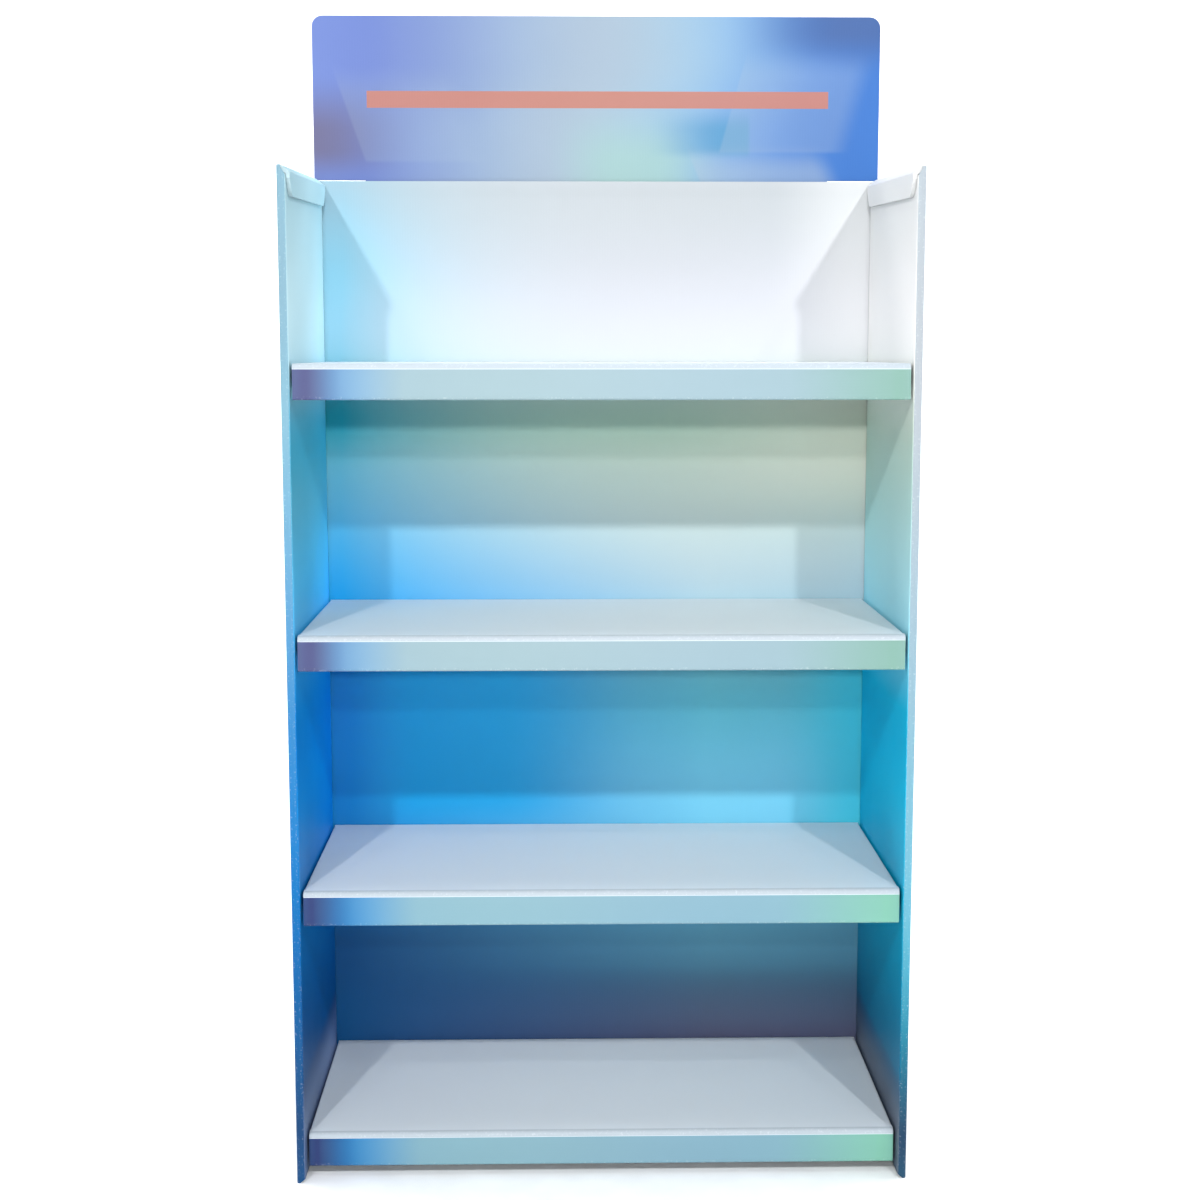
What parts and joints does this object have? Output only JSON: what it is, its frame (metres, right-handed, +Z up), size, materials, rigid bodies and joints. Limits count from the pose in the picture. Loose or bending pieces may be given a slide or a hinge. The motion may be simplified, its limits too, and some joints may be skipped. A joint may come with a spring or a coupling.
{
  "type": "cardboard display stand",
  "caption": "Floor display stand of folded corrugated board, with a double-walled shell, hung shelf trays with printed lips, a printed liner and a header card slotted in at the back.",
  "frame": {"origin": "on the floor, under the middle of the stand's box in plan", "axes": "+Z up, -Y towards the customer, +X to the right as the customer sees it"},
  "size_m": [0.74, 0.358, 1.4315],
  "materials": {
    "shell_board": "printed corrugated board, satin film, colour running from pale cyan to deep blue",
    "liner_board": "printed corrugated board, satin film, pale at the top to deep blue at the foot",
    "header_board": "printed corrugated board, satin film, violet blue with pale fields",
    "shelf_board": "white corrugated board, with a printed band on the front lip"
  },
  "bodies": {
    "root": {"body_shell": "shell_board", "back_liner": "liner_board", "header_card": "header_board", "top_shelf": "shelf_board", "upper_shelf": "shelf_board", "lower_shelf": "shelf_board", "bottom_shelf": "shelf_board"}
  },
  "joints": []
}
